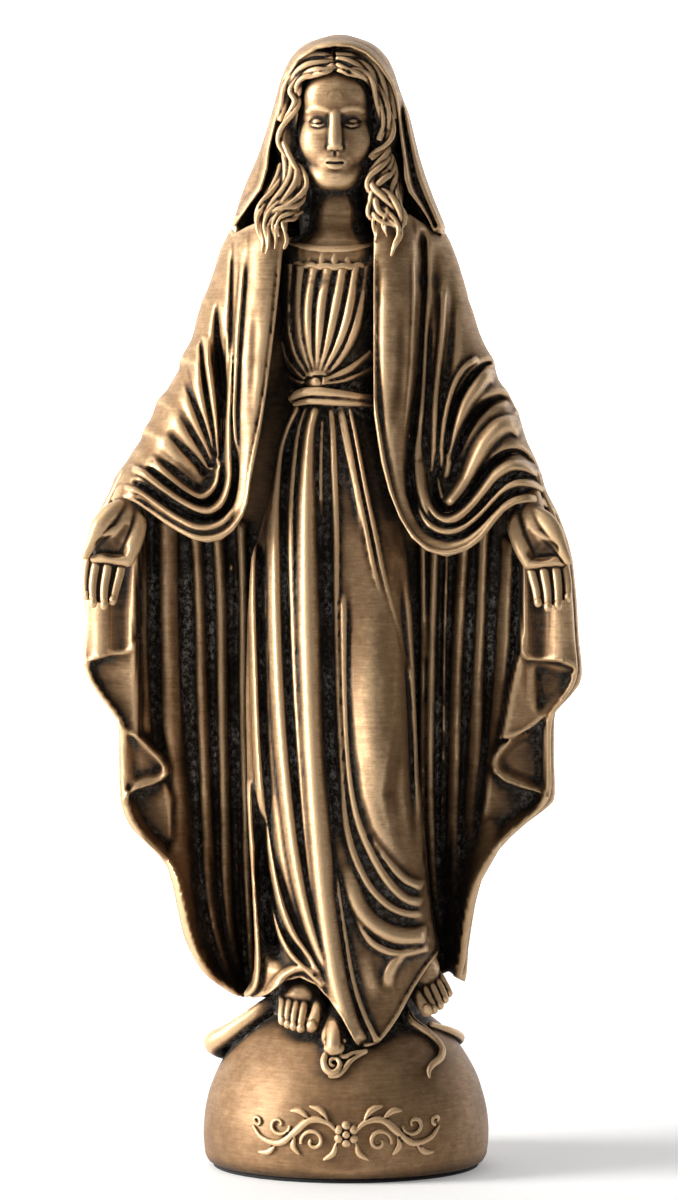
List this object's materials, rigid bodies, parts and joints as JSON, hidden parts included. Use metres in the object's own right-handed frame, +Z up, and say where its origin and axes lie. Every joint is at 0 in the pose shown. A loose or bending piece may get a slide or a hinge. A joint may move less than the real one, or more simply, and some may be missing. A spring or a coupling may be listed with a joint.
{
  "type": "madonna statue",
  "caption": "Standing veiled madonna figure with open hands, mantle and pleated gown, on a globe with a serpent, in an aged bronze finish.",
  "frame": {"origin": "centre of the round underside of the felt pad", "axes": "+Z up through the figure, the figure faces -Y, +X is on a viewer's right"},
  "size_m": [0.1332, 0.0771, 0.3],
  "materials": {
    "bronze_cast": "aged bronze patina with brushed golden highlights",
    "bronze_skin": "aged bronze patina, smoother",
    "bronze_hair": "aged bronze patina, dark in the grooves",
    "bronze_serpent": "dark bronze patina",
    "bronze_base": "aged bronze patina, rubbed on the high spots",
    "felt": "black felt",
    "resin_plug": "raw resin",
    "steel_pin": "drawn"
  },
  "bodies": {
    "root": {"felt_pad": "felt", "filler_plug": "resin_plug", "globe_base": "bronze_base", "base_ornament": "bronze_base", "serpent_head": "bronze_serpent", "serpent_body": "bronze_serpent", "serpent_tail": "bronze_serpent", "right_foot": "bronze_skin", "left_foot": "bronze_skin", "gown_skirt": "bronze_cast", "gown_bodice": "bronze_cast", "sash": "bronze_cast", "neck_ruffle": "bronze_cast", "head": "bronze_skin", "hair_crown": "bronze_hair", "right_hair_lock": "bronze_hair", "left_hair_lock": "bronze_hair", "veil": "bronze_cast", "mantle_back": "bronze_cast", "mantle_right_front": "bronze_cast", "mantle_left_front": "bronze_cast", "mantle_right_fall": "bronze_cast", "mantle_left_fall": "bronze_cast", "right_hand": "bronze_skin", "left_hand": "bronze_skin", "leg_rods": "steel_pin", "neck_dowel": "steel_pin", "wrist_dowels": "steel_pin"}
  },
  "joints": []
}
